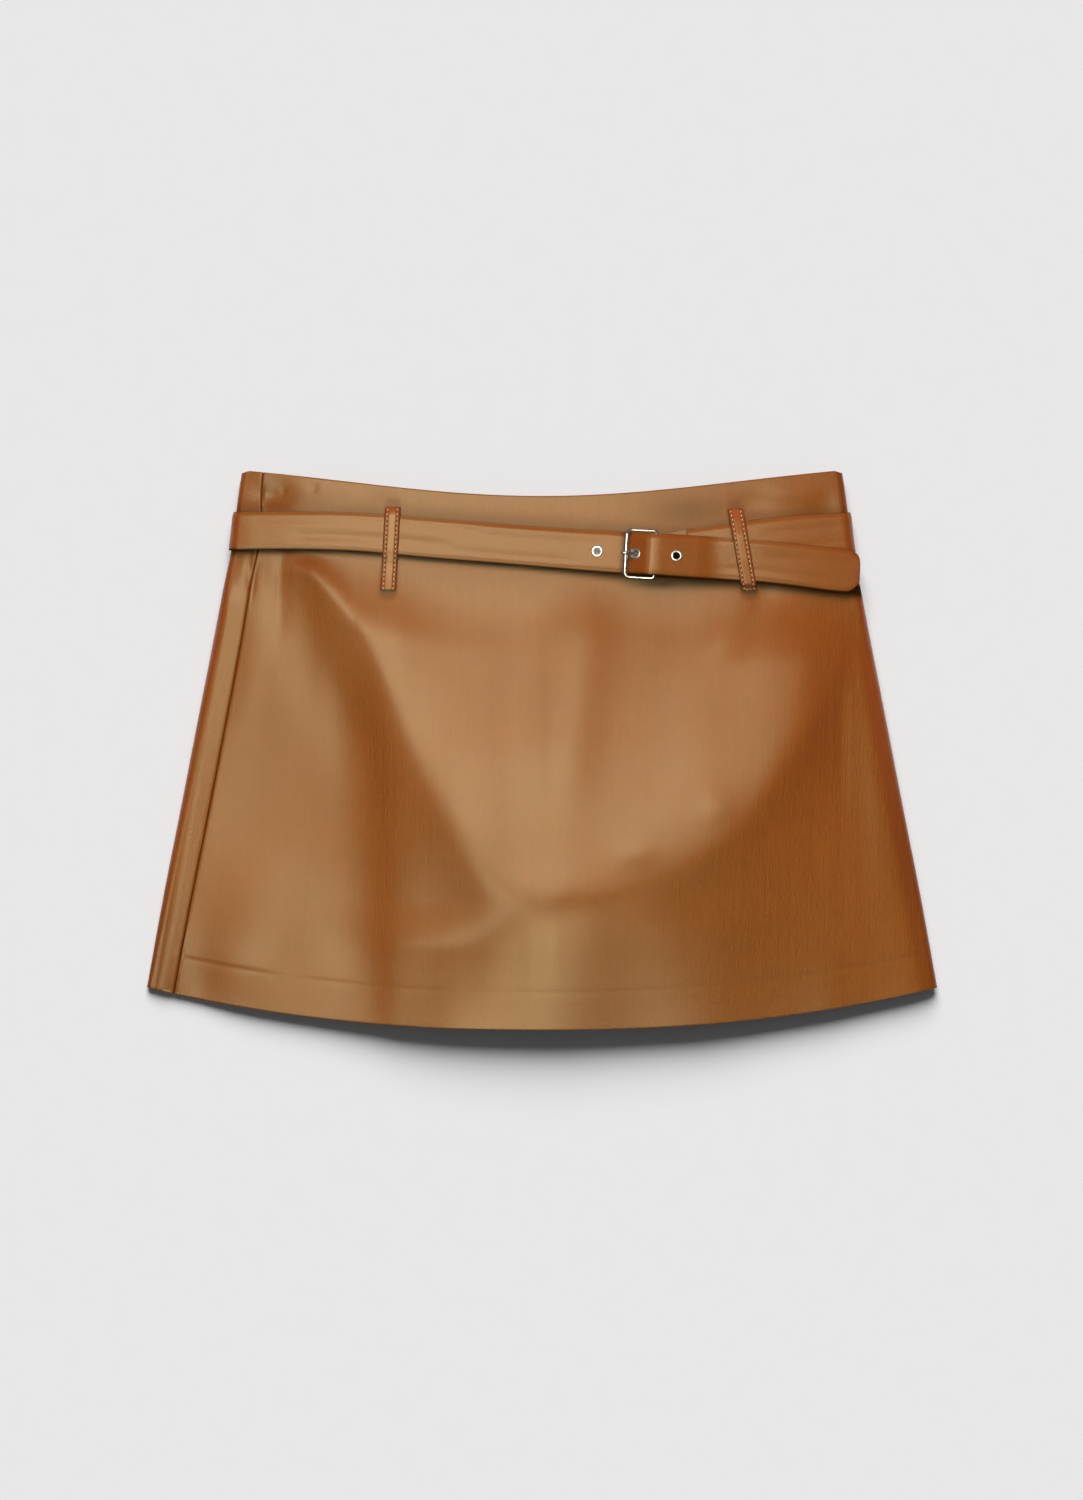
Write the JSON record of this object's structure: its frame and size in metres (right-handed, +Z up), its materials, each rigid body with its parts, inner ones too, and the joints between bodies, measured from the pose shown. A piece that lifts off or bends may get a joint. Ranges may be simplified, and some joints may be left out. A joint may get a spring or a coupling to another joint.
{
  "type": "skort",
  "caption": "Short flared skort in smooth faux leather, laid flat, with a buckled strap belt through loops and plain inner shorts.",
  "frame": {"origin": "centre of the laid garment's outline, on the surface it lies on", "axes": "+Z up from the surface, +X across the garment to the right as its front is seen from above, +Y from hem to waist"},
  "size_m": [0.5148, 0.3638, 0.0337],
  "materials": {
    "leather": "smooth semi-gloss tan faux leather",
    "belt": "smooth semi-gloss tan faux leather strap",
    "loops": "topstitched tan faux leather",
    "shorts": "matt brown jersey",
    "metal": "polished silver"
  },
  "bodies": {
    "root": {"front_panel": "leather", "back_panel": "leather", "shorts_front_left": "shorts", "shorts_front_right": "shorts", "shorts_back_left": "shorts", "shorts_back_right": "shorts", "belt_strap": "belt", "belt_loop_left": "loops", "belt_loop_right": "loops", "back_loop_left": "loops", "back_loop_right": "loops", "buckle_frame": "metal", "buckle_prong": "metal", "eyelet_free_left": "metal", "eyelet_buckled": "metal", "eyelet_free_right": "metal"}
  },
  "joints": []
}
